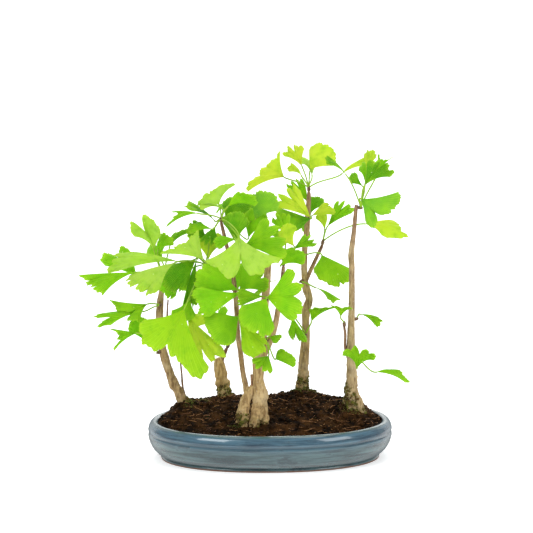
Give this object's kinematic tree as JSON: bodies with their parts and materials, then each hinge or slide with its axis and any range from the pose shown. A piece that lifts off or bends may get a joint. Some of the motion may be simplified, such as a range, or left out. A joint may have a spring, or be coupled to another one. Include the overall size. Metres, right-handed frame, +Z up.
{
  "type": "ginkgo bonsai",
  "caption": "Group planting of young ginkgo trees with fan-shaped split leaves, in moist peat in a low oval glazed pot with a rolled rim.",
  "frame": {"origin": "centre of the pot's flat underside", "axes": "+Z up, +X to the right along the pot's long side, -Y towards the viewer"},
  "size_m": [0.3446, 0.2013, 0.3291],
  "materials": {
    "leaves_a_low": "satin",
    "leaves_a_mid": "satin",
    "leaves_a_top": "satin",
    "leaves_b_top": "satin",
    "leaves_c_arm": "satin",
    "leaves_c_back": "satin",
    "leaves_c_low": "satin",
    "leaves_c_mid": "satin",
    "leaves_d_low": "satin",
    "leaves_d_mid": "satin",
    "leaves_d_side": "satin",
    "leaves_d_top": "satin",
    "leaves_e_arm": "satin",
    "leaves_e_back": "satin",
    "leaves_e_high": "satin",
    "leaves_e_knob": "satin",
    "leaves_e_low": "satin",
    "leaves_e_mid": "satin",
    "leaves_e_top": "satin",
    "leaves_f_low": "satin",
    "leaves_f_mid": "satin",
    "leaves_f_top": "satin",
    "leaves_f_twig": "satin",
    "pot": "gloss",
    "soil": "matte",
    "wood_a": "matte",
    "wood_b": "matte",
    "wood_c": "matte",
    "wood_e": "matte",
    "wood_f": "matte"
  },
  "bodies": {
    "root": {"leaves_a_low": "leaves_a_low", "leaves_a_mid": "leaves_a_mid", "leaves_a_top": "leaves_a_top", "leaves_b_top": "leaves_b_top", "leaves_c_arm": "leaves_c_arm", "leaves_c_back": "leaves_c_back", "leaves_c_low": "leaves_c_low", "leaves_c_mid": "leaves_c_mid", "leaves_d_low": "leaves_d_low", "leaves_d_mid": "leaves_d_mid", "leaves_d_side": "leaves_d_side", "leaves_d_top": "leaves_d_top", "leaves_e_arm": "leaves_e_arm", "leaves_e_back": "leaves_e_back", "leaves_e_high": "leaves_e_high", "leaves_e_knob": "leaves_e_knob", "leaves_e_low": "leaves_e_low", "leaves_e_mid": "leaves_e_mid", "leaves_e_top": "leaves_e_top", "leaves_f_low": "leaves_f_low", "leaves_f_mid": "leaves_f_mid", "leaves_f_top": "leaves_f_top", "leaves_f_twig": "leaves_f_twig", "pot": "pot", "soil": "soil", "wood_a": "wood_a", "wood_b": "wood_b", "wood_c": "wood_c", "wood_e": "wood_e", "wood_f": "wood_f"}
  },
  "joints": []
}
